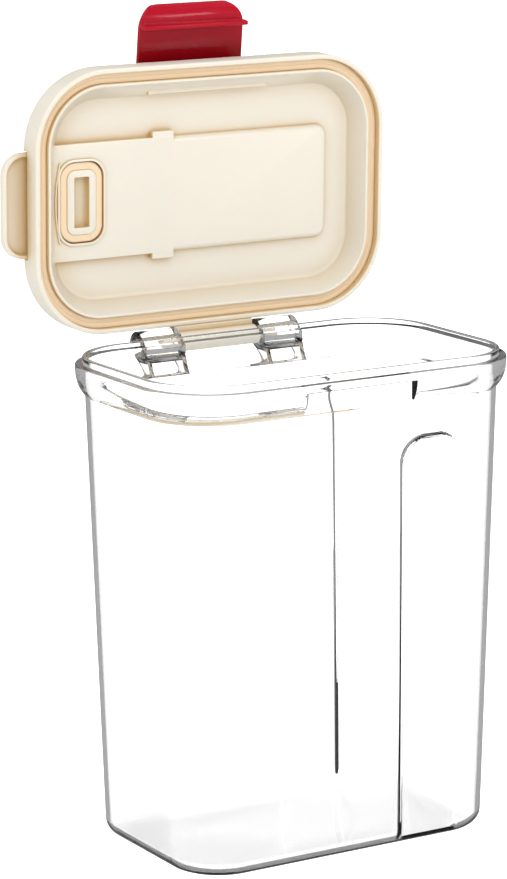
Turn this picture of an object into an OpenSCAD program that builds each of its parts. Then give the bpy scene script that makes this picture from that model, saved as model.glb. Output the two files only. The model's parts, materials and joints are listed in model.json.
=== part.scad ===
// Cereal dispenser: a clear tapered container with a hinged snap lid.
// The lid stands open, its latch swung out and its flip cap shut.
// Origin at the centre of the base, X along the length, -Y towards the latch, +Z up.

/* [Container] */
// Height from the base to the top of the lip
jar_h = 240; // [180:1:300]
// Length at the base
base_l = 173.8; // [168:0.1:180]
// Depth at the base
base_d = 111.4; // [108:0.1:116]
// Corner radius at the base
base_r = 27.8; // [20:0.1:34]
// Radius of the fillet round the base
base_fillet = 7; // [4:0.5:9]
// Length over the shoulder that carries the lid
shoulder_l = 198.6; // [196:0.1:202]
// Depth over the shoulder
shoulder_d = 130.4; // [128:0.1:134]
// Corner radius of the shoulder
shoulder_r = 38.3; // [36:0.1:42]
// How far the collar stands out from the wall at the ends
collar_out_l = 4.4; // [3:0.1:5]
// How far the collar stands out from the wall at the front and back
collar_out_d = 5.5; // [4.5:0.1:6]
// Height of the flared collar
collar_h = 15.4; // [12:0.1:18]
// Height of the lip above the shoulder
lip_h = 3.6; // [3.2:0.1:3.7]
// Width of the shoulder outside the lip
lip_inset = 3.5; // [3.3:0.1:3.7]
// Thickness of the wall
wall = 2.2; // [1.8:0.1:2.4]
// Thickness of the floor
floor_t = 2.6; // [2:0.1:4]

/* [Grip recesses] */
// Width of the recess in the front and in the back
grip_w = 32; // [24:1:40]
// Distance of the recess from the middle of the length
grip_x = 42; // [30:1:46]
// Height of the top of the recess
grip_top = 203.5; // [120:0.5:204]
// Radius of its upper corners
grip_r = 12; // [6:1:12]
// Distance of its flat back from the middle of the depth
grip_y = 53.2; // [52:0.1:54]

/* [Lid] */
// Height of the lid's skirt and top together
lid_h = 15.5; // [15:0.1:17]
// Thickness of the skirt
skirt_t = 2.5; // [2:0.1:2.6]
// Opening angle of the lid
open_angle = 88.3; // [0:0.1:90]

/* [Latch] */
// Width of the latch
latch_w = 59; // [50:0.5:59]
// Length of the latch below its hinge
latch_len = 30.5; // [29:0.5:34]
// Opening angle of the latch
latch_angle = 90; // [0:1:90]

/* [Flip cap] */
// Width of the flip cap
cap_w = 52; // [46:1:52]
// How far the thumb tab stands out from the lid
cap_tab = 12.8; // [8:0.1:14]
// Opening angle of the flip cap
cap_angle = 0; // [0:1:180]

/* [Hidden] */

clear_tint = [0.86, 0.90, 0.93, 0.45];
cream = [0.96, 0.92, 0.84];
tan_seal = [0.90, 0.78, 0.58];
latch_red = [0.72, 0.05, 0.12];

arc_fn = 48;      // segments of a full circle in a hull
bore_fn = 64;     // segments of a true bore or pin
film = 0.02;      // thickness of a hull's cross-section
over = 1;         // how far a cut runs past a face
gap = 0.3;        // space between bodies that move
pin_play = 0.06;  // radial play of a pin in its bore

// Heights and sizes of the container
shoulder_z = jar_h - lip_h;
collar_z = shoulder_z - collar_h;
wall_l = shoulder_l - 2 * collar_out_l;
wall_d = shoulder_d - 2 * collar_out_d;
wall_r = shoulder_r - (collar_out_l + collar_out_d) / 2;
lip_l = shoulder_l - 2 * lip_inset;
lip_d = shoulder_d - 2 * lip_inset;
lip_r = shoulder_r - lip_inset;
lip_t = 2.4;
inner_fillet = 5;

// Each step up the collar: part of its height, part of its flare
collar_steps = [[0, 0], [0.15, 0.42], [0.34, 0.72], [0.6, 0.92], [1, 1]];

// Catch pocket in the front of the collar
catch_half = 30.3;
catch_y = 60.4;
ledge_t = 3.9;
ledge_z = shoulder_z - ledge_t;

// Lid hinge
hinge_y = shoulder_d / 2 + 7.75;
hinge_z = shoulder_z - 1.55;
hinge_pin_r = 2.5;
lug_r = 7.4;
lug_x = 34;
lug_w = 22;
lug_rib = 2.4;
lug_block_z = shoulder_z - 9;
lug_mouth = 3.8;
lug_mouth_angle = 30;   // below the level, towards the back
lug_sink = 0.5;         // how far the lug's block reaches into the collar
lug_slope = 1;          // rise of the block's underside towards the hinge
lug_rib_foot = 1.5;     // depth of a rib's foot on the wall
barrel_r = 4.8;
pin_len = 10;
web_t = 4.8;

// Lid: heights are measured up from the shoulder with the lid shut
lid_l = shoulder_l + 0.6;
lid_d = shoulder_d + 0.6;
lid_r = shoulder_r + 0.3;
skirt_low = gap;
seal_in = skirt_t;
seal_w = 5.1;
seal_low = lip_h + gap;
seal_high = 6.8;
ridge_t = 1.7;
ridge_low = 2;
ridge_in = seal_in + seal_w + ridge_t;
panel_w = 11;
slope_top = 9.5;        // where the inner slope turns to the underside panel
slope_run = 6;          // run of the slope, and of the slope with that turn
slope_run_all = 7.6;

// Each step round the lid's top edge: distance below the top, distance in from the side
edge_steps = [[3, 0], [1.7, 0.4], [0.7, 1.2], [0, 2.8]];
border_w = 8.5;
top_w = 14;

// Flip-cap channel across the lid
chan_half = cap_w / 2 + 0.7;
chan_wall = 2.2;
chan_floor = 9.6;
chan_floor_t = 2;
chan_end = 68;
hook_x = -25;
hook_half = 6;
hook_out = 2.9;
cap_low = chan_floor + gap;
cap_t = 3.9;
cap_axis = cap_low + cap_t / 2;
cap_pin_r = 1.3;
cap_pin_len = 3.2;
cap_root = 4;           // solid stretch of the cap beside its barrel
pin_end_play = 0.2;     // play at each end of the cap's and the latch's pins
cap_skin = 1.8;
cap_r = 11;
cap_end = -lid_l / 2 - cap_tab;

// Pour hole and its stopper
pour_x = -71;
pour_l = 24.2;
pour_d = 40.4;
pour_r = 8;
rim_t = 1.2;
rim_h = 0.8;
plug_l = 16;
plug_d = 32;
plug_r = 4.4;
plug_low = 7;
ring_t = 3.7;
ring_low = 7.4;
slot_l = 8.4;
slot_d = 25;
slot_h = 3.4;
spout_x = -85.7;
spout_chord = 20;
spout_sag = 2.5;
spout_t = 0.8;
spout_h = 0.6;

// Latch
latch_y = -lid_d / 2 + 5.2;
latch_up = 15.1;
latch_z = shoulder_z + latch_up;
latch_lean = 6;
latch_reach = 10.2;
latch_t = 2.4;
latch_barrel_r = 2.2;
latch_pin_r = 1.4;
latch_pin_len = 2.6;
latch_corner = 11.5;
ear_half = 30.2;
ear_t = 3.8;
ear_r = 2.6;
pocket_back = 53;
pocket_front = 61.5;
pocket_floor = 9;
notch_floor = 12.2;
pocket_low = 7;
pocket_wall = 2.5;
rib_top = ledge_z - latch_z - gap;
rib_t = 2.2;
rib_out = 5.2;
flare_z = 7.5;
flare_out = 2.6;
flare_tip = 0.6;        // height of the outer corner of the finger edge
flare_tip_t = 1;        // thickness of that edge at its tip
flare_step = 1.5;       // how far the inner face starts to flare below the outer one
latch_bend = 2;         // size of the bevels where the arm meets the plate
arm_low = -0.4;         // underside of the arm, below the hinge axis

// ---------- shared shapes ----------

// Rounded rectangle about the origin, with true corner arcs
module plate(l, d, r) {
    square([l - 2 * r, d], center = true);
    square([l, d - 2 * r], center = true);
    for (sx = [-1, 1], sy = [-1, 1])
        translate([sx * (l / 2 - r), sy * (d / 2 - r)]) circle(r = r, $fn = arc_fn);
}

// Thin rounded-rectangle section at height z
module section(l, d, r, z) {
    translate([0, 0, z]) linear_extrude(film) plate(l, d, r);
}

// Section of the container's tapered wall at height z, drawn in by inset
module wall_section(z, inset) {
    t = z / collar_z;
    l = base_l + (wall_l - base_l) * t - 2 * inset;
    d = base_d + (wall_d - base_d) * t - 2 * inset;
    r = base_r + (wall_r - base_r) * t - inset;
    section(l, d, r, z);
}

// Section of the lid at height w above the shoulder, drawn in by inset
module lid_section(w, inset) {
    section(lid_l - 2 * inset, lid_d - 2 * inset, lid_r - inset, shoulder_z + w);
}

// Straight block of the lid's outline between two heights, with true arcs
module lid_block(low, high, inset) {
    translate([0, 0, shoulder_z + low])
        linear_extrude(high - low)
            plate(lid_l - 2 * inset, lid_d - 2 * inset, lid_r - inset);
}

// Box from its lowest corner to its highest
module span(a, b) {
    translate(a) cube(b - a);
}

// Profile in Y and Z, extruded to both sides of X = 0
module along_x(w) {
    rotate([90, 0, 90]) linear_extrude(w, center = true) children();
}

// Cylinder along X, centred at x, with its axis at y and z
module rod_x(x, y, z, r, len) {
    translate([x, y, z]) rotate([0, 90, 0]) cylinder(h = len, r = r, center = true, $fn = bore_fn);
}

// Cylinder along Y, with its axis at x and z
module rod_y(x, z, r, len) {
    translate([x, 0, z]) rotate([90, 0, 0]) cylinder(h = len, r = r, center = true, $fn = bore_fn);
}

// Puts the shut lid, latch or flip cap in its opened place
module lid_opened() {
    translate([0, hinge_y, hinge_z]) rotate([-open_angle, 0, 0])
        translate([0, -hinge_y, -hinge_z]) children();
}

module latch_opened() {
    lid_opened() translate([0, latch_y, latch_z]) rotate([latch_lean - latch_angle, 0, 0]) children();
}

module cap_opened() {
    lid_opened() translate([hook_x, 0, shoulder_z + cap_axis]) rotate([0, cap_angle, 0])
        translate([-hook_x, 0, -shoulder_z - cap_axis]) children();
}

// ---------- container ----------

// Recess of the front and the back, grown all round by grow
module grips(grow) {
    w = grip_w + 2 * grow;
    top = grip_top + grow;
    r = grip_r + grow;
    depth = shoulder_d;
    for (side = [-1, 1])
        translate([grip_x, side * (grip_y - grow + depth / 2), 0])
            rotate([90, 0, 0]) linear_extrude(depth, center = true) {
                translate([-w / 2, -over]) square([w, top - r + over]);
                translate([r - w / 2, -over]) square([w - 2 * r, top + over]);
                for (s = [-1, 1])
                    translate([s * (w / 2 - r), top - r]) circle(r = r, $fn = bore_fn);
            }
}

module container_outside() {
    hull() {
        for (a = [0, 30, 60, 90])
            wall_section(base_fillet * (1 - cos(a)), base_fillet * (1 - sin(a)));
        wall_section(collar_z, 0);
    }
    hull()
        for (s = collar_steps)
            section(wall_l + 2 * collar_out_l * s[1], wall_d + 2 * collar_out_d * s[1],
                    wall_r + (shoulder_r - wall_r) * s[1], collar_z + collar_h * s[0] - film * s[0]);
    translate([0, 0, shoulder_z - over])
        linear_extrude(lip_h + over) plate(lip_l, lip_d, lip_r);
}

module container_inside() {
    hull() {
        for (a = [0, 30, 60, 90])
            wall_section(floor_t + inner_fillet * (1 - cos(a)), wall + inner_fillet * (1 - sin(a)));
        wall_section(collar_z, wall);
        section(lip_l - 2 * lip_t, lip_d - 2 * lip_t, lip_r - lip_t, shoulder_z);
        section(lip_l - 2 * lip_t, lip_d - 2 * lip_t, lip_r - lip_t, jar_h + over);
    }
}

module container() {
    color(clear_tint)
    difference() {
        container_outside();
        difference() {
            container_inside();
            grips(wall);
        }
        grips(0);
        span([-catch_half, -shoulder_d, collar_z - over], [catch_half, -catch_y, ledge_z]);
    }
}

// Outline of the collar's back face from the shoulder down, as points in Y and Z
function collar_back() = [for (i = [len(collar_steps) - 1:-1:0])
    [wall_d / 2 + collar_out_d * collar_steps[i][1], collar_z + collar_h * collar_steps[i][0]]];

module hinge_lug(x) {
    color(clear_tint)
    translate([x, 0, 0])
    difference() {
        union() {
            rod_x(0, hinge_y, hinge_z, lug_r, lug_w);
            along_x(lug_w)
                polygon([[shoulder_d / 2, shoulder_z], [hinge_y, shoulder_z],
                         [hinge_y, lug_block_z + lug_slope],
                         [shoulder_d / 2 - lug_sink, lug_block_z]]);
            for (side = [-1, 1])
                translate([side * (lug_w - lug_rib) / 2, 0, 0]) along_x(lug_rib)
                    polygon(concat(collar_back(), [[wall_d / 2 + lug_rib_foot, collar_z],
                                                   [hinge_y + 2, hinge_z - lug_r + gap],
                                                   [hinge_y, shoulder_z]]));
        }
        along_x(lug_w + 2 * over)
            polygon(concat([[0, shoulder_z + over], [shoulder_d / 2, shoulder_z + over]],
                           collar_back(), [[0, collar_z]]));
        rod_x(0, hinge_y, hinge_z, hinge_pin_r + pin_play, lug_w + 2 * over);
        translate([0, hinge_y, hinge_z]) rotate([-lug_mouth_angle, 0, 0])
            translate([0, lug_r, 0]) cube([lug_w + 2 * over, 2 * lug_r, lug_mouth], center = true);
    }
}

module hinge_lug_left() {
    hinge_lug(-lug_x);
}

module hinge_lug_right() {
    hinge_lug(lug_x);
}

// ---------- lid ----------

// Outside of the lid: rounded top edge, raised border and the two ears of the latch
module lid_outside() {
    lid_block(skirt_low, lid_h - edge_steps[0][0], 0);
    difference() {
        hull()
            for (s = edge_steps)
                lid_section(lid_h - s[0] - film, s[1]);
        lid_block(top_w, lid_h + over, border_w);
    }
    for (side = [-1, 1])
        translate([side * (ear_half + ear_t / 2), 0, 0]) {
            rod_x(0, latch_y, latch_z, ear_r, ear_t);
            span([-ear_t / 2, latch_y - ear_r, shoulder_z + top_w], [ear_t / 2, latch_y + ear_r, latch_z]);
        }
}

// Underside panel's bulges: channel, hinge bosses, latch pocket, pour rim and spout ridge
module lid_bulges() {
    z = shoulder_z;
    chan_low = chan_floor - chan_floor_t;
    chan_out = chan_half + chan_wall;
    span([-lid_l / 2, -chan_out, z + chan_low], [chan_end + chan_wall, chan_out, z + lid_h]);
    span([hook_x - hook_half, -chan_out - hook_out, z + chan_low],
         [hook_x + hook_half, chan_out + hook_out, z + lid_h]);
    span([-ear_half - ear_t, -lid_d / 2, z + pocket_low],
         [ear_half + ear_t, pocket_wall - pocket_back, z + lid_h]);
    translate([pour_x, 0, z + chan_low - rim_h])
        linear_extrude(rim_h + over)
            plate(pour_l + 2 * rim_t, pour_d + 2 * rim_t, pour_r + rim_t);
    spout_ridge(z + chan_low);
}

// Low curved ridge beside the pour hole
module spout_ridge(z) {
    r = (spout_chord * spout_chord + spout_sag * spout_sag) / (2 * spout_sag);
    intersection() {
        translate([spout_x + r, 0, z - spout_h]) difference() {
            cylinder(h = 2 * spout_h, r = r, $fn = 180);
            translate([0, 0, -over]) cylinder(h = 2 * (spout_h + over), r = r - spout_t, $fn = 180);
        }
        span([-lid_l / 2, -spout_chord, z - over], [pour_x, spout_chord, z + over]);
    }
}

module lid_hollow() {
    lid_block(-over, ridge_low, seal_in);
    difference() {
        lid_block(-over, seal_high, seal_in);
        lid_block(-2 * over, seal_high + over, seal_in + seal_w);
    }
    difference() {
        hull() {
            lid_section(ridge_low - film, ridge_in);
            lid_section(slope_top, ridge_in + slope_run);
            lid_section(panel_w - film, ridge_in + slope_run_all);
        }
        lid_bulges();
    }
}

module lid_shell() {
    z = shoulder_z;
    color(cream)
    lid_opened() difference() {
        lid_outside();
        lid_hollow();
        span([-lid_l, -chan_half, z + chan_floor], [chan_end, chan_half, z + lid_h + over]);
        translate([pour_x, 0, z]) linear_extrude(lid_h) plate(pour_l, pour_d, pour_r);
        rod_y(hook_x, z + cap_axis, cap_pin_r + pin_play, cap_w + 2 * (cap_pin_len + pin_end_play));
        span([-ear_half, -pocket_front, z + pocket_floor], [ear_half, -pocket_back, z + lid_h + over]);
        span([-ear_half, -lid_d, z + notch_floor], [ear_half, -pocket_front + over, z + lid_h + over]);
        rod_x(0, latch_y, latch_z, latch_pin_r + pin_play, latch_w + 2 * (latch_pin_len + pin_end_play));
    }
}

module lid_hinge_bar() {
    web_low = shoulder_z + skirt_low;
    bar_l = 2 * (lug_x - lug_w / 2 - gap);
    color(cream)
    lid_opened() {
        rod_x(0, hinge_y, hinge_z, barrel_r, bar_l);
        rod_x(0, hinge_y, hinge_z, hinge_pin_r, bar_l + 2 * pin_len);
        span([-bar_l / 2, lid_d / 2, web_low], [bar_l / 2, hinge_y, web_low + web_t]);
    }
}

module lid_seal() {
    play = 0.1;
    color(tan_seal)
    lid_opened() difference() {
        lid_block(seal_low, seal_high, seal_in + play);
        lid_block(seal_low - over, seal_high + over, seal_in + seal_w - play);
    }
}

// ---------- latch ----------

// Side view of the latch about its hinge axis: arm, plate and flared finger edge
module latch_side() {
    face = -latch_reach;
    back = face - latch_t;
    tip = -latch_len;
    bend = latch_bend;
    edge = back - flare_out;
    polygon([[0, latch_barrel_r], [back + bend, latch_barrel_r], [back, latch_barrel_r - bend],
             [back, tip + flare_z], [edge, tip + flare_tip], [edge + flare_tip_t, tip],
             [face, tip + flare_z - flare_step], [face, arm_low - bend], [face + bend, arm_low],
             [0, arm_low]]);
    translate([face - over / 2, rib_top - rib_t]) square([rib_out + over / 2, rib_t]);
}

// Front view of the latch, with rounded lower corners
module latch_front() {
    w = latch_w;
    r = latch_corner;
    low = -latch_len;
    high = latch_barrel_r + over;
    translate([-w / 2, low + r]) square([w, high - low - r]);
    translate([r - w / 2, low]) square([w - 2 * r, r + over]);
    for (s = [-1, 1])
        translate([s * (w / 2 - r), low + r]) circle(r = r, $fn = bore_fn);
}

module latch_lever() {
    depth = 40;
    color(latch_red)
    latch_opened() {
        intersection() {
            along_x(latch_w) latch_side();
            rotate([90, 0, 0]) linear_extrude(depth, center = true) latch_front();
        }
        rod_x(0, 0, 0, latch_barrel_r, latch_w);
        rod_x(0, 0, 0, latch_pin_r, latch_w + 2 * latch_pin_len);
    }
}

// ---------- flip cap ----------

// Plan of the flip cap from its hinge axis to the tip of its tab, drawn in by inset
module cap_plan(inset) {
    left = cap_end + inset;
    half = cap_w / 2 - inset;
    r = cap_r - inset;
    translate([left + r, -half]) square([hook_x - left - r, 2 * half]);
    translate([left, r - half]) square([2 * r, 2 * (half - r)]);
    for (s = [-1, 1])
        translate([left + r, s * (half - r)]) circle(r = r, $fn = bore_fn);
}

module flip_cap() {
    z = shoulder_z + cap_low;
    color(cream)
    cap_opened() {
        difference() {
            translate([0, 0, z]) linear_extrude(cap_t) cap_plan(0);
            difference() {
                translate([0, 0, z - over]) linear_extrude(cap_t - cap_skin + over) cap_plan(cap_skin);
                span([hook_x - cap_root, -cap_w, z - over], [hook_x + over, cap_w, z + cap_t]);
            }
        }
        rod_y(hook_x, z + cap_t / 2, cap_t / 2, cap_w);
        rod_y(hook_x, z + cap_t / 2, cap_pin_r, cap_w + 2 * cap_pin_len);
    }
}

module cap_plug() {
    z = shoulder_z;
    flange_low = cap_low;
    flange_high = cap_low + cap_t - cap_skin;
    color(cream)
    cap_opened() difference() {
        union() {
            translate([pour_x, 0, z + plug_low])
                linear_extrude(flange_high - plug_low) plate(plug_l, plug_d, plug_r);
            translate([pour_x, 0, z + flange_low])
                linear_extrude(flange_high - flange_low) plate(pour_l, pour_d, pour_r);
        }
        span([pour_x - slot_l / 2, -slot_d / 2, z], [pour_x + slot_l / 2, slot_d / 2, z + plug_low + slot_h]);
    }
}

module plug_seal() {
    z = shoulder_z;
    color(tan_seal)
    cap_opened() translate([pour_x, 0, z + ring_low]) difference() {
        linear_extrude(cap_low - ring_low) plate(plug_l + 2 * ring_t, plug_d + 2 * ring_t, plug_r + ring_t);
        translate([0, 0, -over]) linear_extrude(cap_low + 2 * over) plate(plug_l, plug_d, plug_r);
    }
}

container();
hinge_lug_left();
hinge_lug_right();
lid_shell();
lid_hinge_bar();
lid_seal();
latch_lever();
flip_cap();
cap_plug();
plug_seal();
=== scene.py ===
"""Cereal dispenser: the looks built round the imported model.

Shapes are worked out in millimetres, with the lid shut. They are turned to the opened rest pose as
they are made.
"""
import json
import math

import bmesh
import bpy
from mathutils import Matrix, Vector


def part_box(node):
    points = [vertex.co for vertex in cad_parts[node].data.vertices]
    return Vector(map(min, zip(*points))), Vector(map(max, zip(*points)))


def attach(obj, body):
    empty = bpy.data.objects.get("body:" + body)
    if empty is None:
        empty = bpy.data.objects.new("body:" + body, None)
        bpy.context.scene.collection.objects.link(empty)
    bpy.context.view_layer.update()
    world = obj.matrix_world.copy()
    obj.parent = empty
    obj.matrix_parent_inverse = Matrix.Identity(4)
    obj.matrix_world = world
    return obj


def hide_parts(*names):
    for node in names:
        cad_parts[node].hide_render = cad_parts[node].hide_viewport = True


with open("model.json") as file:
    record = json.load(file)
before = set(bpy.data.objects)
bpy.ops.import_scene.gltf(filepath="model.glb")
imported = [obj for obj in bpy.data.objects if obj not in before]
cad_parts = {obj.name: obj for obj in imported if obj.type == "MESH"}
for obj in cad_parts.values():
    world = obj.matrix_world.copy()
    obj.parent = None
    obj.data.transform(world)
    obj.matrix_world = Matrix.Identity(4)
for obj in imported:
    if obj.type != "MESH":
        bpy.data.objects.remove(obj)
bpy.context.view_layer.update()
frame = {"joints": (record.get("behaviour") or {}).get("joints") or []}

MM = 0.001
JOINTS = {joint["name"]: joint for joint in frame["joints"]}


def cad_box(node):
    """Lowest and highest corner of a CAD node, in millimetres."""
    return [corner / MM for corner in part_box(node)]


# ---------- sizes, in millimetres ----------

# Container
JAR_LOW, JAR_HIGH = cad_box("container")
SHOULDER_L = JAR_HIGH.x - JAR_LOW.x
SHOULDER_D = JAR_HIGH.y - JAR_LOW.y
SHOULDER_R = 38.3
JAR_H = JAR_HIGH.z
LIP_H = 3.6
COLLAR_H = 15.4
SHOULDER_Z = JAR_H - LIP_H
COLLAR_Z = SHOULDER_Z - COLLAR_H
BASE_L, BASE_D, BASE_R = 173.8, 111.4, 27.8
BASE_FILLET = 7.0
COLLAR_OUT_L, COLLAR_OUT_D = 4.4, 5.5
LIP_INSET = 3.5
LIP_T = 2.4
LIP_ROUND = 0.8
WALL = 2.2
FLOOR_T = 2.6
INNER_FILLET = 5.0
FLARE_POWER = 3.1

# Grip recesses and catch pocket
GRIP_X, GRIP_HALF, GRIP_TOP, GRIP_R, GRIP_Y = 43.25, 14.75, 202.3, 12.0, 53.2
GRIP_SOFT, GRIP_GROW = 3.0, 1.2
GRIP_HEAD_LOW, GRIP_HEAD_HIGH = 186.0, 208.5
CATCH_HALF, CATCH_Y, CATCH_SOFT = 30.3, 60.4, 0.35
FINE_STEP = 0.65
LEDGE_Z = SHOULDER_Z - 3.9

# Lid hinge
HINGE = Vector(JOINTS["lid_hinge"]["pos_m"]) / MM
OPEN_ANGLE = math.radians(JOINTS["lid_hinge"]["range_deg"][1])
PIN_R, BORE_R = 2.5, 2.56
LUG_R, LUG_X, LUG_W = 7.4, 34.0, 22.0
LUG_RIB = 2.4
LUG_BLOCK_Z = SHOULDER_Z - 9.0
LUG_MOUTH, LUG_MOUTH_ANGLE = 3.8, math.radians(-30)
LUG_SINK, LUG_FOOT = 1.0, 1.5
BARREL_R, PIN_LEN, BAR_GAP = 4.8, 10.0, 0.3

# Lid: heights are measured up from the shoulder with the lid shut
LID_L, LID_D, LID_R = SHOULDER_L + 0.6, SHOULDER_D + 0.6, SHOULDER_R + 0.3
LID_H = 15.5
TOP_ROUND = 3.0
SKIRT_LOW, SKIRT_T = 0.3, 2.5
SEAL_IN, SEAL_OUT = 2.5, 7.6
SEAL_LOW, SEAL_HIGH = 3.9, 6.8
RIDGE_IN, RIDGE_LOW = 9.3, 2.0
SLOPE_IN, SLOPE_TOP = 15.3, 9.5
PANEL_IN, PANEL_W = 17.2, 11.0
BORDER_IN, TOP_W = 8.5, 14.0
WEB_T = 4.8

# Flip-cap channel, pour hole and stopper
CHAN_HALF, CHAN_FLOOR, CHAN_END = 26.7, 9.6, 68.0
CHAN_WALL, CHAN_LOW = 2.2, 7.6
CHAN_SOFT_LOW, CHAN_SOFT, CHAN_SOFT_R = 7.62, 2.9, 5.5
HOOK_X, HOOK_HALF, HOOK_OUT = -25.0, 6.0, 2.9
CAP_HALF, CAP_LOW, CAP_T, CAP_R, CAP_SKIN = 26.0, 9.9, 3.9, 11.0, 1.8
CAP_END = cad_box("flip_cap")[0].x
CAP_PIN_R, CAP_PIN_LEN, CAP_ROOT = 1.3, 3.2, 4
POUR_X, POUR_L, POUR_D, POUR_R = -71.0, 24.2, 40.4, 8.0
POUR_RIM, POUR_RIM_LOW = 1.2, 6.8
POUR_PLACE = (POUR_X, 0)
PLUG_L, PLUG_D, PLUG_R, PLUG_LOW = 16.0, 32.0, 4.4, 7.0
RING_T, RING_LOW = 3.7, 7.4
SLOT_L, SLOT_D, SLOT_H = 8.4, 25.0, 3.4
SPOUT_X, SPOUT_HALF, SPOUT_SAG, SPOUT_T, SPOUT_H = -85.7, 20.0, 2.5, 0.8, 0.6

# Latch, about its own hinge axis and hanging down when shut
LATCH = Vector((0, -LID_D / 2 + 5.2, SHOULDER_Z + 15.1))
LATCH_LEAN = math.radians(6)
LATCH_OPEN = math.radians(JOINTS["latch_hinge"]["range_deg"][1])
LATCH_W, LATCH_REACH, LATCH_T, LATCH_LEN = 59.0, 10.2, 2.4, 30.5
LATCH_BARREL_R, LATCH_PIN_R, LATCH_PIN_LEN, LATCH_CORNER = 2.2, 1.4, 2.6, 11.5
RIB_TOP, RIB_T, RIB_OUT = LEDGE_Z - LATCH.z - 0.3, 2.2, 5.2
FLARE_Z, FLARE_OUT = 7.5, 2.6
EAR_HALF, EAR_T, EAR_R = 30.2, 3.8, 2.6
POCKET_BACK, POCKET_FRONT, POCKET_FLOOR, NOTCH_FLOOR, POCKET_LOW = 53.0, 61.5, 9.0, 12.2, 7.0
POCKET_WALL = 2.5
ARM_LOW = -0.4

# Play round a pin, room past its end, and overlap of shapes that are joined or cut
PIN_PLAY, CLEAR, OVERLAP = 0.06, 0.2, 1.5

# Heights in metres between which the latch's red turns from its painted dark shade to full
LATCH_SHADE = 0.370, 0.392

# Places of the opened lid, of the opened latch and of the flip cap's axis
LID_OPEN = Matrix.Translation(HINGE) @ Matrix.Rotation(-OPEN_ANGLE, 4, "X") @ Matrix.Translation(-HINGE)
LATCH_PLACE = LID_OPEN @ Matrix.Translation(LATCH) @ Matrix.Rotation(LATCH_LEAN - LATCH_OPEN, 4, "X")
CAP_AXIS = Vector((HOOK_X, 0, SHOULDER_Z + CAP_LOW + CAP_T / 2))
CAP_PLACE = LID_OPEN @ Matrix.Translation(CAP_AXIS) @ Matrix.Rotation(math.pi / 2, 4, "Z")


# ---------- mesh helpers ----------

def new_piece(name, verts, faces, material, scale=MM):
    """Mesh object from points in millimetres, with its faces turned outward."""
    mesh = bpy.data.meshes.new(name)
    mesh.from_pydata([tuple(Vector(v) * scale) for v in verts], [], faces)
    mesh.validate()
    mesh.materials.append(material)
    bm = bmesh.new()
    bm.from_mesh(mesh)
    bmesh.ops.recalc_face_normals(bm, faces=bm.faces)
    bm.to_mesh(mesh)
    bm.free()
    piece = bpy.data.objects.new(name, mesh)
    bpy.context.scene.collection.objects.link(piece)
    return piece


def shade(piece):
    """Smooth shading that keeps the sharper edges."""
    sharp = 32
    piece.data.shade_smooth()
    piece.data.set_sharp_from_angle(angle=math.radians(sharp))


def apply_modifiers(piece):
    """Replaces the mesh with the one its modifiers give."""
    graph = bpy.context.evaluated_depsgraph_get()
    graph.update()
    mesh = bpy.data.meshes.new_from_object(piece.evaluated_get(graph))
    piece.modifiers.clear()
    piece.data = mesh
    return piece


def combine(piece, other, operation):
    """Exact boolean of piece with other, which is used up."""
    cut = piece.modifiers.new("cut", "BOOLEAN")
    cut.operation = operation
    cut.solver = "EXACT"
    cut.object = other
    apply_modifiers(piece)
    bpy.data.objects.remove(other)
    return piece


def bevel(piece, width, segments=3):
    """Rounds the sharp edges, with width in millimetres."""
    sharp = 30
    rounding = piece.modifiers.new("bevel", "BEVEL")
    rounding.width = width * MM
    rounding.segments = segments
    rounding.limit_method = "ANGLE"
    rounding.angle_limit = math.radians(sharp)
    return apply_modifiers(piece)


def turned(matrix, points):
    """The points moved by the matrix."""
    return [matrix @ Vector(point) for point in points]


def rounded_rect(length, depth, radius, steps, centre):
    """Outline of a rounded rectangle, anticlockwise, as points in X and Y."""
    points = []
    for corner in range(4):
        sx, sy = ((1, 1), (-1, 1), (-1, -1), (1, -1))[corner]
        for step in range(steps + 1):
            angle = math.pi / 2 * (corner + step / steps)
            points.append((centre[0] + sx * (length / 2 - radius) + radius * math.cos(angle),
                           centre[1] + sy * (depth / 2 - radius) + radius * math.sin(angle)))
    return points


def skin(rings, closed=False):
    """Vertices and faces over rings of as many points each: capped at both ends, or closed on itself."""
    count = len(rings[0])
    verts = [point for ring in rings for point in ring]
    faces = []
    spans = len(rings) if closed else len(rings) - 1
    for row in range(spans):
        low, high = row * count, (row + 1) % len(rings) * count
        for i in range(count):
            j = (i + 1) % count
            faces.append((low + i, low + j, high + j, high + i))
    if not closed:
        faces.append(tuple(reversed(range(count))))
        faces.append(tuple(range((len(rings) - 1) * count, len(rings) * count)))
    return verts, faces


def quarter(steps):
    """Steps of a quarter turn, as pairs of sine and cosine."""
    turns = [math.pi / 2 * i / steps for i in range(steps + 1)]
    return [(math.sin(turn), math.cos(turn)) for turn in turns]


def extrusion(name, profile, low, high, material, matrix=Matrix()):
    """Solid along X over a profile in Y and Z."""
    rings = [turned(matrix, [(x, y, z) for y, z in profile]) for x in (low, high)]
    verts, faces = skin(rings)
    return new_piece(name, verts, faces, material)


def rod(name, radius, low, high, material, matrix, edge=0.3, steps=48):
    """Cylinder along X, from low to high, with chamfered ends."""
    rings = []
    for x, r in ((low, radius - edge), (low + edge, radius), (high - edge, radius), (high, radius - edge)):
        rings.append([(x, r * math.cos(2 * math.pi * i / steps), r * math.sin(2 * math.pi * i / steps))
                      for i in range(steps)])
    verts, faces = skin([turned(matrix, ring) for ring in rings])
    return new_piece(name, verts, faces, material)


# ---------- container ----------

def smoothstep(value):
    """Smooth rise from 0 to 1."""
    value = min(max(value, 0.0), 1.0)
    return value * value * (3 - 2 * value)


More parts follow.
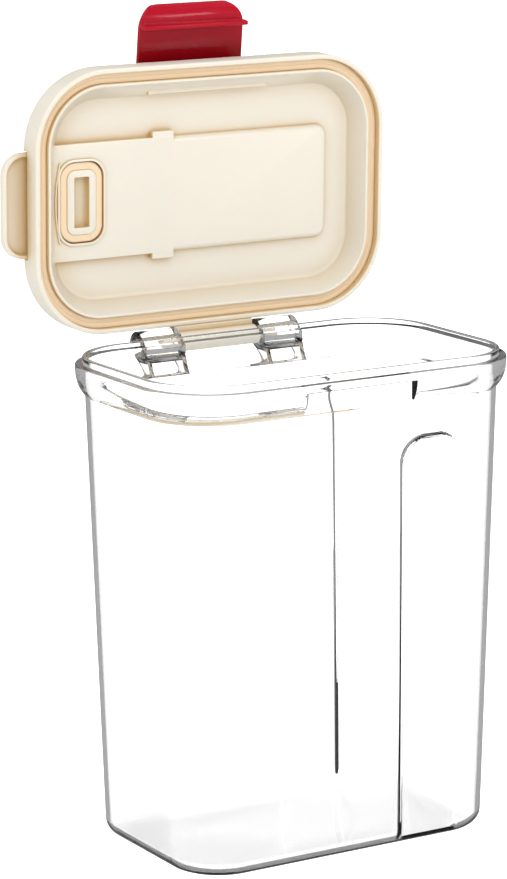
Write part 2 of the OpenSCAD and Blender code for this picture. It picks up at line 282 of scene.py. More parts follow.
def grip_mask(x, z, grow):
    """1 inside a grip recess, 0 outside it, with a soft edge; the recess is grown all round by grow."""
    half, top, radius = GRIP_HALF + grow, GRIP_TOP + grow, GRIP_R + grow
    across = abs(x - GRIP_X) - (half - radius)
    along = z - (top - radius)
    outside = math.hypot(max(across, 0.0), max(along, 0.0)) + min(max(across, along), 0.0) - radius
    return smoothstep(0.5 - outside / GRIP_SOFT)


def grip_shift(x, y, z, grow):
    """y of a wall point, drawn in to the flat back of a grip recess."""
    back = GRIP_Y - (WALL if grow else 0.0)
    if abs(y) <= back:
        return y
    return math.copysign(abs(y) + (back - abs(y)) * grip_mask(x, z, grow), y)


def catch_shift(x, y, z):
    """y of a collar point, drawn in to the back of the catch pocket under its ledge."""
    if y > -CATCH_Y or z > LEDGE_Z:
        return y
    mask = smoothstep(0.5 + (CATCH_HALF - abs(x)) / CATCH_SOFT)
    return y + (-CATCH_Y - y) * mask


def fine_columns():
    """X places of the points along the front and back, close together where a recess has its edge."""
    first, first_step, second, second_step, fine_from = -58.5, 5.5, -23.0, 7.0, 20.0
    columns = [first + first_step * i for i in range(5)]
    columns += [-CATCH_HALF + step for step in (-1.0, -0.3, 0.0, 0.3, 1.0)]
    columns += [second + second_step * i for i in range(6)]
    return columns + [fine_from + FINE_STEP * i for i in range(61)]


def jar_outline(length, depth, radius, columns):
    """Outline of the container: fine along the front and back and where the corners start."""
    corner_steps, ease = 18, 1.5
    arc = [90 * (i / corner_steps) ** ease for i in range(corner_steps + 1)]
    sides = 5
    cx, cy = length / 2 - radius, depth / 2 - radius

    def corner(sx, sy, degrees):
        angles = [math.radians(d) for d in degrees]
        return [(sx * (cx + radius * math.sin(a)), sy * (cy + radius * math.cos(a))) for a in angles]

    def side(sx, sy):
        return [(sx * length / 2, sy * cy * (1 - 2 * i / sides)) for i in range(1, sides)]

    points = [(x, -depth / 2) for x in columns]
    points += corner(1, -1, arc) + side(1, -1) + corner(1, 1, arc[::-1])
    points += [(x, depth / 2) for x in reversed(columns)]
    points += corner(-1, 1, arc) + side(-1, 1) + corner(-1, -1, arc[::-1])
    return points


def wall_size(z):
    """Length, depth and corner radius of the tapered wall at height z."""
    part = z / COLLAR_Z
    wall_r = SHOULDER_R - (COLLAR_OUT_L + COLLAR_OUT_D) / 2
    return (BASE_L + (SHOULDER_L - 2 * COLLAR_OUT_L - BASE_L) * part,
            BASE_D + (SHOULDER_D - 2 * COLLAR_OUT_D - BASE_D) * part,
            BASE_R + (wall_r - BASE_R) * part)


def collar_size(z):
    """Length, depth and corner radius of the flared collar at height z."""
    flare = 1 - (1 - (z - COLLAR_Z) / COLLAR_H) ** FLARE_POWER
    length, depth, radius = wall_size(COLLAR_Z)
    return (length + 2 * COLLAR_OUT_L * flare, depth + 2 * COLLAR_OUT_D * flare,
            radius + (SHOULDER_R - radius) * flare)


def drawn_in(size, inset):
    """Length, depth and corner radius after an inset all round."""
    return size[0] - 2 * inset, size[1] - 2 * inset, size[2] - inset


def wall_heights(low, top):
    """Heights of the rings up a wall, close together round the head of the grip recess."""
    plain_rows, fine_rows, top_rows = 9, 34, 3
    heights = [low + (GRIP_HEAD_LOW - low) * i / plain_rows for i in range(1, plain_rows + 1)]
    heights += [GRIP_HEAD_LOW + FINE_STEP * i for i in range(1, fine_rows + 1)]
    return heights + [top - (top - GRIP_HEAD_HIGH) * i / top_rows for i in range(top_rows - 1, -1, -1)]


def jar_outer_rings(columns):
    """Rings from the base up the outside to the top of the lip."""
    full = (SHOULDER_L, SHOULDER_D, SHOULDER_R)
    levels = [(BASE_FILLET * (1 - c), BASE_FILLET * (1 - s)) for s, c in quarter(6)]
    rings = [(z, drawn_in(wall_size(z), inset)) for z, inset in levels]
    rings += [(z, wall_size(z)) for z in wall_heights(BASE_FILLET, COLLAR_Z)]
    collar = [COLLAR_Z + COLLAR_H * part for part in (0.06, 0.12, 0.2, 0.3, 0.42, 0.55, 0.65)]
    collar += [LEDGE_Z - 0.15, LEDGE_Z + 0.15, LEDGE_Z + 2.0, SHOULDER_Z - 0.8]
    rings += [(z, collar_size(z)) for z in collar]
    shoulder = [(SHOULDER_Z - 0.4, 0.05), (SHOULDER_Z - 0.1, 0.25), (SHOULDER_Z, 0.7),
                (SHOULDER_Z, LIP_INSET - 0.5), (SHOULDER_Z + 0.15, LIP_INSET - 0.15),
                (SHOULDER_Z + 0.5, LIP_INSET)]
    shoulder += [(JAR_H - LIP_ROUND * (1 - s), LIP_INSET + LIP_ROUND * (1 - c)) for s, c in quarter(5)]
    rings += [(z, drawn_in(full, inset)) for z, inset in shoulder]
    placed = []
    for z, size in rings:
        outline = jar_outline(*size, columns)
        placed.append([(x, catch_shift(x, grip_shift(x, y, z, 0.0), z), z) for x, y in outline])
    return placed


def jar_inner_rings(columns):
    """Rings from the top of the lip down the inside to the floor."""
    full = (SHOULDER_L, SHOULDER_D, SHOULDER_R)
    edge = LIP_INSET + LIP_T
    levels = [(JAR_H - LIP_ROUND * (1 - s), edge - LIP_ROUND * (1 - c)) for s, c in reversed(quarter(5))]
    rings = [(z, drawn_in(full, inset)) for z, inset in levels]
    mouth, wall_top = drawn_in(full, edge), drawn_in(wall_size(COLLAR_Z), WALL)
    rings.append((SHOULDER_Z, mouth))
    for part in (0.15, 0.4, 0.6, 0.85):
        blended = [a + (b - a) * smoothstep(part) for a, b in zip(mouth, wall_top)]
        rings.append((SHOULDER_Z - COLLAR_H * part, blended))
    heights = wall_heights(FLOOR_T + INNER_FILLET, COLLAR_Z)
    rings += [(z, drawn_in(wall_size(z), WALL)) for z in reversed(heights)]
    for s, c in quarter(6):
        z = FLOOR_T + INNER_FILLET * (1 - s)
        rings.append((z, drawn_in(wall_size(z), WALL + INNER_FILLET * (1 - c))))
    placed = []
    for z, size in rings:
        placed.append([(x, grip_shift(x, y, z, GRIP_GROW), z) for x, y in jar_outline(*size, columns)])
    return placed


def lug(x, material):
    """Clear lug that wraps the hinge bar, with a mouth at the back to snap it in, and two ribs under it."""
    def round_point(radius, angle):
        return HINGE.y + radius * math.cos(angle), HINGE.z + radius * math.sin(angle)

    half_mouth = math.asin(LUG_MOUTH / 2 / LUG_R)
    half_bore = math.asin(LUG_MOUTH / 2 / BORE_R)
    steps = 40
    start, stop = LUG_MOUTH_ANGLE + half_mouth, math.radians(180)
    profile = [round_point(LUG_R, start + (stop - start) * i / steps) for i in range(steps + 1)]
    profile += [(SHOULDER_D / 2 - LUG_SINK, SHOULDER_Z), (SHOULDER_D / 2 - LUG_SINK, LUG_BLOCK_Z)]
    low, end = math.radians(-90), LUG_MOUTH_ANGLE - half_mouth
    profile += [round_point(LUG_R, low + (end - low) * i / 8) for i in range(9)]
    start, stop = LUG_MOUTH_ANGLE - half_bore + 2 * math.pi, LUG_MOUTH_ANGLE + half_bore
    profile += [round_point(BORE_R, start + (stop - start) * i / steps) for i in range(steps + 1)]
    body = bevel(extrusion("lug", profile, x - LUG_W / 2, x + LUG_W / 2, material), 0.35, 2)
    foot = SHOULDER_D / 2 - COLLAR_OUT_D
    rib = [(foot - LUG_SINK, COLLAR_Z), (foot + LUG_FOOT, COLLAR_Z), (HINGE.y + 2, HINGE.z - LUG_R + 0.3),
           (HINGE.y, SHOULDER_Z - 4), (foot - LUG_SINK, SHOULDER_Z - 4)]
    for side in (-1, 1):
        middle = x + side * (LUG_W - LUG_RIB) / 2
        web = extrusion("rib", rib, middle - LUG_RIB / 2 + 0.02, middle + LUG_RIB / 2 - 0.02, material)
        combine(body, bevel(web, 0.3, 2), "UNION")
    return body


def container(material):
    """Hollow container as one skin, with its two hinge lugs."""
    columns = fine_columns()
    rings = jar_outer_rings(columns) + jar_inner_rings(columns)
    verts, faces = skin(rings)
    piece = new_piece("clear_container", verts, faces, material)
    for side in (-1, 1):
        combine(piece, lug(side * LUG_X, material), "UNION")
    return piece


# ---------- lid ----------

def plan(length, depth, radius, centre=(0.0, 0.0), steps=12):
    """Rounded rectangle as a function of the inset."""
    def outline(inset):
        corner = max(radius - inset, 0.05)
        return rounded_rect(length - 2 * inset, depth - 2 * inset, corner, steps, centre)
    return outline


def box_plan(low_x, low_y, high_x, high_y, radius=0.6):
    """Rounded rectangle between two corners, as a function of the inset."""
    centre = ((low_x + high_x) / 2, (low_y + high_y) / 2)
    return plan(high_x - low_x, high_y - low_y, radius, centre, 4)


def lid_block(outline, low, high, material, edge=0.4):
    """Solid on the lid between two heights above the shoulder, with its two rims rounded by edge.

    The outline is a function of the inset.
    """
    rim = quarter(3)
    levels = [(SHOULDER_Z + low + edge * (1 - c), edge * (1 - s)) for s, c in rim]
    levels += [(SHOULDER_Z + high - edge * (1 - c), edge * (1 - s)) for s, c in reversed(rim)]
    verts, faces = skin([turned(LID_OPEN, [(x, y, z) for x, y in outline(inset)]) for z, inset in levels])
    return new_piece("block", verts, faces, material)


def lid_profile():
    """Height and inset of each ring, from the top panel over the skirt and seal groove to the underside."""
    points = [(TOP_W, BORDER_IN + 0.7), (TOP_W + 0.15, BORDER_IN + 0.25), (TOP_W + 0.5, BORDER_IN),
              (LID_H - 0.4, BORDER_IN - 0.15), (LID_H - 0.1, BORDER_IN - 0.35), (LID_H, BORDER_IN - 0.8)]
    points += [(LID_H - TOP_ROUND * (1 - c), TOP_ROUND * (1 - s)) for s, c in quarter(8)]
    rim = 0.7
    points += [(SKIRT_LOW + rim * (1 - c), rim * (1 - s)) for s, c in reversed(quarter(4))]
    points += [(SKIRT_LOW + rim * (1 - c), SKIRT_T - rim * (1 - s)) for s, c in quarter(4)]
    points += [(SEAL_HIGH - 0.3, SEAL_IN), (SEAL_HIGH, SEAL_IN + 0.3), (SEAL_HIGH, SEAL_OUT - 0.3),
               (SEAL_HIGH - 0.3, SEAL_OUT)]
    rim = 0.6
    points += [(RIDGE_LOW + rim * (1 - c), SEAL_OUT + rim * (1 - s)) for s, c in reversed(quarter(4))]
    points += [(RIDGE_LOW + rim * (1 - c), RIDGE_IN - rim * (1 - s)) for s, c in quarter(4)]
    run, rise = PANEL_IN - SLOPE_IN, PANEL_W - SLOPE_TOP
    points += [(SLOPE_TOP + rise * s, SLOPE_IN + run * (1 - c)) for s, c in quarter(6)]
    return points + [(PANEL_W, PANEL_IN + OVERLAP)]


def lid_base(material):
    """Lid without its channel, pocket and holes."""
    outline = plan(LID_L, LID_D, LID_R, steps=20)
    rings = [[(x, y, SHOULDER_Z + w) for x, y in outline(inset)] for w, inset in lid_profile()]
    verts, faces = skin([turned(LID_OPEN, ring) for ring in rings])
    return new_piece("cream_lid", verts, faces, material)


def latch_ear(side, material):
    """Upright ear beside the latch, with a round top about the latch's axis."""
    steps = 16
    turns = [math.pi * i / steps for i in range(steps + 1)]
    profile = [(LATCH.y + EAR_R * math.cos(turn), LATCH.z + EAR_R * math.sin(turn)) for turn in turns]
    foot = SHOULDER_Z + TOP_W - OVERLAP
    profile += [(LATCH.y - EAR_R, foot), (LATCH.y + EAR_R, foot)]
    low, high = sorted((side * EAR_HALF, side * (EAR_HALF + EAR_T)))
    return bevel(extrusion("ear", profile, low, high, material, LID_OPEN), 0.4, 2)


def spout_ridge(material):
    """Low curved ridge beside the pour hole."""
    radius = (SPOUT_HALF ** 2 + SPOUT_SAG ** 2) / (2 * SPOUT_SAG)
    swing, steps = math.asin(SPOUT_HALF / radius), 24
    turns = [swing * (2 * i / steps - 1) for i in range(steps + 1)]

    def arc(inset):
        far, near = radius - inset, radius - SPOUT_T + inset
        outer = [(SPOUT_X + radius - far * math.cos(t), -far * math.sin(t)) for t in turns]
        inner = [(SPOUT_X + radius - near * math.cos(t), -near * math.sin(t)) for t in reversed(turns)]
        return outer + inner
    return lid_block(arc, CHAN_LOW - SPOUT_H, CHAN_LOW + 1.0, material, 0.15)


def lid_additions(material):
    """Channel, hinge bosses, latch pocket and pour rim that stand out under the panel, and the ears."""
    inside, top = 4.0, PANEL_W + OVERLAP
    out = CHAN_HALF + CHAN_WALL
    middle = HOOK_X + HOOK_HALF
    yield lid_block(box_plan(inside - LID_L / 2, -out, middle, out), CHAN_LOW, top, material)
    soft = box_plan(middle - 4 * CHAN_SOFT_R, -out, CHAN_END + CHAN_WALL, out, CHAN_SOFT_R)
    yield lid_block(soft, CHAN_SOFT_LOW, top + 1.2, material, CHAN_SOFT)
    boss = out + HOOK_OUT
    bosses = box_plan(HOOK_X - HOOK_HALF, -boss, HOOK_X + HOOK_HALF, boss)
    yield lid_block(bosses, CHAN_LOW + 0.02, top, material)
    wide = EAR_HALF + EAR_T
    pocket = box_plan(-wide, inside - LID_D / 2, wide, POCKET_WALL - POCKET_BACK)
    yield lid_block(pocket, POCKET_LOW, top, material)
    rim = plan(POUR_L + 2 * POUR_RIM, POUR_D + 2 * POUR_RIM, POUR_R + POUR_RIM, POUR_PLACE)
    yield lid_block(rim, POUR_RIM_LOW, CHAN_LOW + 1.0, material, 0.3)
    yield spout_ridge(material)
    for side in (-1, 1):
        yield latch_ear(side, material)


def lid_cuts(material):
    """Spaces of the flip cap, pour hole, latch and hinge pins."""
    above = LID_H + 2
    yield lid_block(box_plan(-LID_L, -CHAN_HALF, CHAN_END, CHAN_HALF), CHAN_FLOOR, above, material)
    yield lid_block(plan(POUR_L, POUR_D, POUR_R, POUR_PLACE), 0, CHAN_FLOOR + OVERLAP, material)
    pocket = box_plan(-EAR_HALF, -POCKET_FRONT, EAR_HALF, -POCKET_BACK)
    yield lid_block(pocket, POCKET_FLOOR, above, material)
    notch = box_plan(-EAR_HALF, -LID_D, EAR_HALF, 1 - POCKET_FRONT)
    yield lid_block(notch, NOTCH_FLOOR, above, material)
    reach = CAP_HALF + CAP_PIN_LEN + CLEAR
    yield rod("bore", CAP_PIN_R + PIN_PLAY, -reach, reach, material, CAP_PLACE, 0.02)
    reach = LATCH_W / 2 + LATCH_PIN_LEN + CLEAR
    place = LID_OPEN @ Matrix.Translation(LATCH)
    yield rod("bore", LATCH_PIN_R + PIN_PLAY, -reach, reach, material, place, 0.02)


def lid_shell(material):
    """Lid with everything that is moulded on it or cut from it."""
    piece = lid_base(material)
    for addition in lid_additions(material):
        combine(piece, addition, "UNION")
    for cut in lid_cuts(material):
        combine(piece, cut, "DIFFERENCE")
    return piece


def lid_hinge_bar(material):
    """Barrel between the lugs, with a pin through each and a web to the lid's skirt."""
    half = LUG_X - LUG_W / 2 - BAR_GAP
    axis = LID_OPEN @ Matrix.Translation(HINGE)
    piece = rod("cream_hinge_bar", BARREL_R, -half, half, material, axis, 0.4, 64)
    combine(piece, rod("pins", PIN_R, -half - PIN_LEN, half + PIN_LEN, material, axis, 0.3), "UNION")
    web = lid_block(box_plan(-half, LID_D / 2, half, HINGE.y), SKIRT_LOW, SKIRT_LOW + WEB_T, material)
    return combine(piece, web, "UNION")


def ring_seal(name, outline, section, place, material):
    """Closed ring over a section given as height and inset."""
    rings = [turned(place, [(x, y, z) for x, y in outline(inset)]) for z, inset in section]
    verts, faces = skin(rings, closed=True)
    return new_piece(name, verts, faces, material)


def lid_seal(material):
    """Gasket in the lid's groove, with two soft beads and a shallow channel between them."""
    low, high, inner, outer = SEAL_LOW, SEAL_HIGH - 0.02, SEAL_IN + 0.08, SEAL_OUT - 0.08
    bead = (outer - inner) / 4
    turns = [math.pi * i / 8 for i in range(9)]
    section = [(high, inner), (high, outer)]
    for centre in (outer - bead, inner + bead):
        section += [(low + bead * 0.3 * (1 - math.sin(t)), centre + bead * math.cos(t)) for t in turns]
    section = [(SHOULDER_Z + w, inset) for w, inset in section]
    return ring_seal("tan_lid_seal", plan(LID_L, LID_D, LID_R, steps=20), section, LID_OPEN, material)


# ---------- latch ----------

def latch_profile():
    """Side view about the hinge axis: arm, plate and flared finger edge, as points in Y and Z."""
    face, tip = -LATCH_REACH, -LATCH_LEN
    back = face - LATCH_T
    steps, outer_r, inner_r = 6, 2.4, 1.8
    bend = [(back + outer_r * (1 - s), LATCH_BARREL_R - outer_r * (1 - c)) for s, c in quarter(steps)]
    hollow = [(face + inner_r * (1 - s), ARM_LOW - inner_r * (1 - c)) for s, c in reversed(quarter(steps))]
    curve, tip_h, tip_t = 1.7, 0.6, 1.0
    flare = []
    for i in range(steps + 1):
        part = i / steps
        flare.append((back - FLARE_OUT * part ** curve, tip + FLARE_Z - (FLARE_Z - tip_h) * part))
    inner_flare = [(y + LATCH_T * 0.9, z - 0.7) for y, z in reversed(flare)]
    points = [(0, LATCH_BARREL_R)] + bend + flare + [(back - FLARE_OUT + tip_t, tip)]
    return points + [p for p in inner_flare if p[1] > tip + tip_t] + hollow + [(0, ARM_LOW)]


def latch_front(material):
    """Front view with rounded lower corners, as a solid that the side view is cut to."""
    half, low, high, radius = LATCH_W / 2, -LATCH_LEN, LATCH_BARREL_R + 1, LATCH_CORNER
    points = [(-half, high), (-half, low + radius)]
    points += [(-half + radius * (1 - c), low + radius * (1 - s)) for s, c in quarter(16)][1:]
    points += [(half - radius * (1 - c), low + radius * (1 - s)) for s, c in reversed(quarter(16))]
    points += [(half, high)]
    past = 20
    rings = [turned(LATCH_PLACE, [(x, y, z) for x, z in points]) for y in (-past, past)]
    verts, faces = skin(rings)
    return new_piece("front", verts, faces, material)


def latch_lever(material):
    """Latch with its catch rib, hinge barrel and pins."""
    piece = extrusion("red_latch", latch_profile(), -LATCH_W / 2, LATCH_W / 2, material, LATCH_PLACE)
    combine(piece, latch_front(material), "INTERSECT")
    bevel(piece, 0.45, 3)
    half, low = LATCH_W / 2 - 0.05, RIB_TOP - RIB_T
    root, edge = -LATCH_REACH - 0.8, RIB_OUT - LATCH_REACH
    rib = [(root, low), (edge, low), (edge, RIB_TOP), (root, RIB_TOP)]
    combine(piece, bevel(extrusion("rib", rib, -half, half, material, LATCH_PLACE), 0.5, 3), "UNION")
    combine(piece, rod("barrel", LATCH_BARREL_R, -LATCH_W / 2, LATCH_W / 2, material, LATCH_PLACE), "UNION")
    reach = LATCH_W / 2 + LATCH_PIN_LEN
    return combine(piece, rod("pins", LATCH_PIN_R, -reach, reach, material, LATCH_PLACE), "UNION")


# ---------- flip cap ----------

def cap_plan(inset):
    """Plan of the flip cap from its hinge axis to the round tip of its tab."""
    left, half, radius = CAP_END + inset, CAP_HALF - inset, CAP_R - inset
    points = [(HOOK_X, -half), (HOOK_X, half)]
    points += [(left + radius * (1 - s), half - radius * (1 - c)) for s, c in quarter(12)]
    return points + [(left + radius * (1 - s), radius * (1 - c) - half) for s, c in reversed(quarter(12))]


def flip_cap(material):
    """Door with a hollow underside, its hinge barrel and its pins."""
    piece = lid_block(cap_plan, CAP_LOW, CAP_LOW + CAP_T, material, 0.7)
    piece.name = "cream_flip_cap"

    def hollow(inset):
        return [(min(x, HOOK_X - CAP_ROOT - inset), y) for x, y in cap_plan(CAP_SKIN + inset)]
    combine(piece, lid_block(hollow, CAP_LOW - 2, CAP_LOW + CAP_T - CAP_SKIN, material, 0.5), "DIFFERENCE")
    combine(piece, rod("barrel", CAP_T / 2, -CAP_HALF, CAP_HALF, material, CAP_PLACE), "UNION")
    reach = CAP_HALF + CAP_PIN_LEN
    return combine(piece, rod("pins", CAP_PIN_R, -reach, reach, material, CAP_PLACE, 0.2), "UNION")


def cap_plug(material):
    """Hollow stopper with a flange."""
    top = CAP_LOW + CAP_T - CAP_SKIN
    piece = lid_block(plan(PLUG_L, PLUG_D, PLUG_R, POUR_PLACE), PLUG_LOW, top, material, 0.5)
    piece.name = "cream_cap_plug"
    flange = lid_block(plan(POUR_L, POUR_D, POUR_R, POUR_PLACE), CAP_LOW, top, material, 0.15)
    combine(piece, flange, "UNION")
    slot = plan(SLOT_L, SLOT_D, 0.8, POUR_PLACE)
    return combine(piece, lid_block(slot, 0, PLUG_LOW + SLOT_H, material, 0.5), "DIFFERENCE")


def plug_seal(material):
    """Gasket round the stopper, with a rounded lower face."""
    inner, low, high, edge = RING_T - 0.05, RING_LOW, CAP_LOW, 0.9
    section = [(high, 0.2), (high, inner), (low + 0.2, inner), (low, inner - 0.3)]
    section += [(low + edge * (1 - c), edge * (1 - s)) for s, c in quarter(6)]
    section = [(SHOULDER_Z + w, inset) for w, inset in section]
    outline = plan(PLUG_L + 2 * RING_T, PLUG_D + 2 * RING_T, PLUG_R + RING_T, POUR_PLACE)
    return ring_seal("tan_plug_seal", outline, section, LID_OPEN, material)


# ---------- materials ----------

def principled(name, colour, **sockets):
    """Material with one Principled shader, and its node tree."""
    material = bpy.data.materials.new(name)
    material.use_nodes = True
    shader = material.node_tree.nodes["Principled BSDF"]
    shader.inputs["Base Color"].default_value = (*colour, 1)
    for socket, value in sockets.items():
        shader.inputs[socket.replace("_", " ")].default_value = value
    return material, material.node_tree, shader


def noise(tree, scale, detail=3.0, source="Object"):
    """Noise fixed to the object's own coordinates, in metres, or to the directions of the surroundings."""
    place = tree.nodes.new("ShaderNodeTexCoord")
    texture = tree.nodes.new("ShaderNodeTexNoise")
    texture.inputs["Scale"].default_value = scale
    texture.inputs["Detail"].default_value = detail
    tree.links.new(place.outputs[source], texture.inputs["Vector"])
    return texture.outputs["Fac"]


def varied(tree, fac, low, high, spread=0.2):
    """The noise mapped to a range of numbers; a small spread makes hard patches."""
    mapped = tree.nodes.new("ShaderNodeMapRange")
    mapped.inputs["From Min"].default_value = 0.5 - spread
    mapped.inputs["From Max"].default_value = 0.5 + spread
    mapped.inputs["To Min"].default_value = low
    mapped.inputs["To Max"].default_value = high
    tree.links.new(fac, mapped.inputs["Value"])
    return mapped.outputs["Result"]


def tinted(tree, fac, dark, light):
    """The noise mapped to a range of colours."""
    ramp = tree.nodes.new("ShaderNodeValToRGB")
    ramp.color_ramp.elements[0].position, ramp.color_ramp.elements[1].position = 0.3, 0.7
    ramp.color_ramp.elements[0].color = (*dark, 1)
    ramp.color_ramp.elements[1].color = (*light, 1)
    tree.links.new(fac, ramp.inputs["Fac"])
    return ramp.outputs["Color"]


def bumped(tree, shader, fac, distance, strength=0.3):
    """Fine relief of the noise on the shader's normal, with its height in metres."""
    bump = tree.nodes.new("ShaderNodeBump")
    bump.inputs["Distance"].default_value = distance
    bump.inputs["Strength"].default_value = strength
    tree.links.new(fac, bump.inputs["Height"])
    tree.links.new(bump.outputs["Normal"], shader.inputs["Normal"])


def clear_plastic():
    """Clear plastic with a polish that varies slightly."""
    material, tree, shader = principled("clear_plastic", (1, 1, 1), IOR=1.49, Transmission_Weight=1.0)
    tree.links.new(varied(tree, noise(tree, 35), 0.0, 0.02), shader.inputs["Roughness"])
    return material


def painted_hollow_shade(tree, colour, shade_tint, reach):
    """The colour turned to a darker warm tan in hollows and corners: painted shade, in place of their
    shading and of light through the plastic.
    """
    hollow = tree.nodes.new("ShaderNodeAmbientOcclusion")
    hollow.samples = 8
    hollow.inputs["Distance"].default_value = reach
    openness = tree.nodes.new("ShaderNodeMapRange")
    openness.inputs["From Min"].default_value = 0.45
    openness.inputs["From Max"].default_value = 0.97
    tree.links.new(hollow.outputs["AO"], openness.inputs["Value"])
    return mixed(tree, openness.outputs["Result"], (*shade_tint, 1), colour)


def mixed(tree, fac, first, second):
    """First colour at 0 and second at 1; each is a colour or a socket."""
    mix = tree.nodes.new("ShaderNodeMix")
    mix.data_type = "RGBA"
    tree.links.new(fac, mix.inputs["Factor"])
    for name, value in (("A", first), ("B", second)):
        if isinstance(value, tuple):
            mix.inputs[name].default_value = value
        else:
            tree.links.new(value, mix.inputs[name])
    return mix.outputs["Result"]


def height_between(tree, low, high):
    """0 to 1 between two heights of the object's own coordinates."""
    place = tree.nodes.new("ShaderNodeTexCoord")
    split = tree.nodes.new("ShaderNodeSeparateXYZ")
    tree.links.new(place.outputs["Object"], split.inputs["Vector"])
    mapped = tree.nodes.new("ShaderNodeMapRange")
    mapped.interpolation_type = "SMOOTHSTEP"
    mapped.inputs["From Min"].default_value = low
    mapped.inputs["From Max"].default_value = high
    tree.links.new(split.outputs["Z"], mapped.inputs["Value"])
    return mapped.outputs["Result"]


def cream_plastic():
    """Satin cream plastic, slightly see-through, with a fine grain and painted warm shade in its hollows
    and corners.
    """
    material, tree, shader = principled("cream_plastic", (0.746, 0.70, 0.606), IOR=1.5,
                                        Subsurface_Weight=0.2, Subsurface_Scale=0.003)
    shader.inputs["Subsurface Radius"].default_value = (1.0, 0.62, 0.3)
    shades = tinted(tree, noise(tree, 8, 1), (0.742, 0.697, 0.603), (0.750, 0.704, 0.610))
    # Painted shade: the cream turns warm tan in hollows and corners, wherever ambient occlusion finds them
    tree.links.new(painted_hollow_shade(tree, shades, (0.60, 0.41, 0.17), 0.013), shader.inputs["Base Color"])
    tree.links.new(varied(tree, noise(tree, 30), 0.28, 0.31), shader.inputs["Roughness"])
    bumped(tree, shader, noise(tree, 1400, 2), 0.00004)
    return material


def tan_gasket():
    """Soft tan gasket with a matt, finely grained face."""
    material, tree, shader = principled("tan_gasket", (0.82, 0.64, 0.43), IOR=1.42)
    tree.links.new(tinted(tree, noise(tree, 20, 1), (0.815, 0.63, 0.42), (0.825, 0.645, 0.435)),
                   shader.inputs["Base Color"])
    tree.links.new(varied(tree, noise(tree, 90), 0.46, 0.56), shader.inputs["Roughness"])
    bumped(tree, shader, noise(tree, 2500, 2), 0.00004)
    return material


def red_plastic():
    """Glossy red plastic, with painted shade that makes it darker towards the latch's hinge."""
    material, tree, shader = principled("red_plastic", (0.40, 0.008, 0.022), IOR=1.53,
                                        Specular_IOR_Level=0.25, Subsurface_Weight=0.1,
                                        Subsurface_Scale=0.003)
    shader.inputs["Subsurface Radius"].default_value = (1.0, 0.12, 0.1)
    shades = tinted(tree, noise(tree, 25), (0.40, 0.006, 0.018), (0.43, 0.008, 0.024))
    # Painted shade: the red is darker low on the latch, towards its hinge, and full above LATCH_SHADE's
    # upper height
    painted_shade = height_between(tree, *LATCH_SHADE)
    tree.links.new(mixed(tree, painted_shade, (0.20, 0.001, 0.004, 1), shades), shader.inputs["Base Color"])
    tree.links.new(varied(tree, noise(tree, 70), 0.10, 0.16), shader.inputs["Roughness"])
    bumped(tree, shader, noise(tree, 900, 2), 0.00003, 0.2)
    return material


# ---------- studio ----------

# Camera: lens and sensor width in millimetres, place in metres, directions in degrees
LENS, SENSOR = 144.36, 36
CAMERA_PLACE = (-0.87578, -1.42746, 0.55546)
CAMERA_HEADING, CAMERA_DIP, CAMERA_ROLL = 30.8913, 12.1168, -0.3795

# Level after a glossy reflection or many clear surfaces, and extra level straight to the eye
SKY_DARK, SKY_EXTRA = (0.0, 0.5), 0.4
FLOOR_DARK, FLOOR_EXTRA = 0.4, 0.65

# Floor: reflectance, and half width and height in metres
FLOOR_PALE, FLOOR_HALF, FLOOR_Z = 0.96, 40, -0.0004


def camera():
    """Camera at the reference view's place, heading, dip and slight roll."""
    data = bpy.data.cameras.new("camera")
    data.lens = LENS
    data.sensor_width = SENSOR
    data.clip_end = 100
    cam = bpy.data.objects.new("camera", data)
    bpy.context.scene.collection.objects.link(cam)
    heading, dip, roll = (math.radians(a) for a in (CAMERA_HEADING, CAMERA_DIP, CAMERA_ROLL))
    ahead = (math.sin(heading) * math.cos(dip), math.cos(heading) * math.cos(dip), -math.sin(dip))
    level = Vector((math.cos(heading), -math.sin(heading), 0))
    upward = level.cross(Vector(ahead))
    right = level * math.cos(roll) + upward * math.sin(roll)
    top = upward * math.cos(roll) - level * math.sin(roll)
    axes = Matrix((right, top, -Vector(ahead))).transposed().to_4x4()
    cam.matrix_world = Matrix.Translation(CAMERA_PLACE) @ axes
    bpy.context.scene.camera = cam


def softbox(name, place, aim, size, power):
    """Rectangular light at a place, turned to what it aims at, and not seen itself."""
    data = bpy.data.lights.new(name, "AREA")
    data.shape = "RECTANGLE"
    data.size, data.size_y = size
    data.energy = power
    light = bpy.data.objects.new(name, data)
    bpy.context.scene.collection.objects.link(light)
    light.location = place
    light.rotation_euler = (Vector(aim) - Vector(place)).to_track_quat("-Z", "Y").to_euler()
    light.visible_camera = False
    light.visible_transmission = False


def maths(tree, operation, first, second):
    """Result of one operation on two values; each is a number or a socket."""
    node = tree.nodes.new("ShaderNodeMath")
    node.operation = operation
    for socket, value in zip(node.inputs, (first, second)):
        if isinstance(value, (int, float)):
            socket.default_value = value
        else:
            tree.links.new(value, socket)
    return node.outputs[0]


def light_levels(tree, dark, extra):
    """Two strengths for the light of the studio.

    The first is 1 for plain light, and dark after a glossy reflection or more than six clear surfaces,
    unless that light falls on a matt surface. The second is extra for plain light that goes straight to
    the eye, and makes up for what clear walls take from it.
    """
    path = tree.nodes.new("ShaderNodeLightPath").outputs
    half, most_surfaces = 0.5, 6.5
    unreflected = maths(tree, "LESS_THAN", path["Glossy Depth"], half)
    short = maths(tree, "LESS_THAN", path["Transmission Depth"], most_surfaces)
    plain = maths(tree, "MULTIPLY", unreflected, short)
    lighting = maths(tree, "GREATER_THAN", path["Diffuse Depth"], half)
    level = maths(tree, "MAXIMUM", maths(tree, "MAXIMUM", plain, lighting), dark)
    seen = maths(tree, "GREATER_THAN", maths(tree, "SUBTRACT", plain, lighting), half)
    return level, maths(tree, "MULTIPLY", seen, extra)


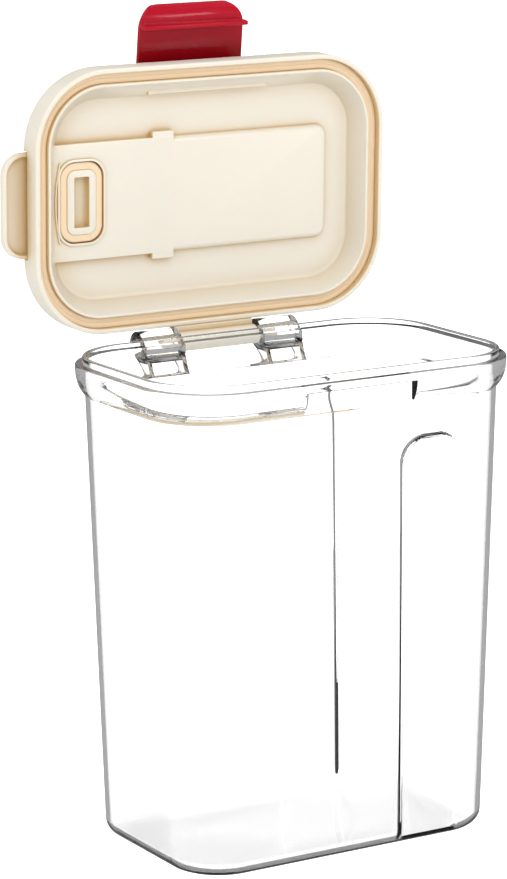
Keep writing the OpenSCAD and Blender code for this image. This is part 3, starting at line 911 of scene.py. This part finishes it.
def sky():
    """White surroundings, with dark patches that only glossy reflections and many clear surfaces show."""
    surroundings = bpy.data.worlds.new("studio")
    bpy.context.scene.world = surroundings
    surroundings.use_nodes = True
    tree = surroundings.node_tree
    background = tree.nodes["Background"]
    background.inputs["Color"].default_value = (1, 1, 1, 1)
    dark = varied(tree, noise(tree, 4, 1, "Generated"), *SKY_DARK, 0.08)
    strength = maths(tree, "ADD", *light_levels(tree, dark, SKY_EXTRA))
    tree.links.new(strength, background.inputs["Strength"])


def floor():
    """Plain white floor just under the object, darker in glossy reflections."""
    material, tree, shader = principled("floor_white", (FLOOR_PALE,) * 3, Roughness=0.9)
    shader.inputs["Emission Color"].default_value = (1, 1, 1, 1)
    level, extra = light_levels(tree, FLOOR_DARK, FLOOR_EXTRA)
    tree.links.new(extra, shader.inputs["Emission Strength"])
    colour = tree.nodes.new("ShaderNodeCombineColor")
    pale = maths(tree, "MINIMUM", level, FLOOR_PALE)
    for channel in ("Red", "Green", "Blue"):
        tree.links.new(pale, colour.inputs[channel])
    tree.links.new(colour.outputs["Color"], shader.inputs["Base Color"])
    corners = [(x * FLOOR_HALF, y * FLOOR_HALF, FLOOR_Z) for x, y in ((-1, -1), (1, -1), (1, 1), (-1, 1))]
    piece = new_piece("floor", corners, [(0, 1, 2, 3)], material, scale=1)


def studio():
    """Surroundings, floor, camera and two soft lights."""
    bpy.context.scene.view_settings.view_transform = "Standard"
    sky()
    floor()
    camera()
    softbox("key", (-1.2, -1.6, 2.2), (0, 0, 0.25), (1.4, 1.4), 14)
    softbox("front", (0.75, -1.3, 0.6), (0, 0, 0.35), (0.5, 0.4), 3)


# ---------- the object ----------

def fit(piece, body, slot, *nodes):
    """Shades a piece, and puts it on its body in place of its CAD nodes."""
    shade(piece)
    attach(piece, body)
    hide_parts(*nodes)
    return piece


studio()
clear = clear_plastic()
cream = cream_plastic()
tan = tan_gasket()
red = red_plastic()

jar = fit(container(clear), "container", "clear_plastic", "container", "hinge_lug_left", "hinge_lug_right")
jar.visible_shadow = False
fit(lid_shell(cream), "lid", "cream_plastic", "lid_shell")
fit(lid_hinge_bar(cream), "lid", "cream_plastic", "lid_hinge_bar")
fit(lid_seal(tan), "lid", "tan_gasket", "lid_seal")
fit(latch_lever(red), "latch", "red_plastic", "latch_lever")
fit(flip_cap(cream), "pour_cap", "cream_plastic", "flip_cap")
fit(cap_plug(cream), "pour_cap", "cream_plastic", "cap_plug")
fit(plug_seal(tan), "pour_cap", "tan_gasket", "plug_seal")
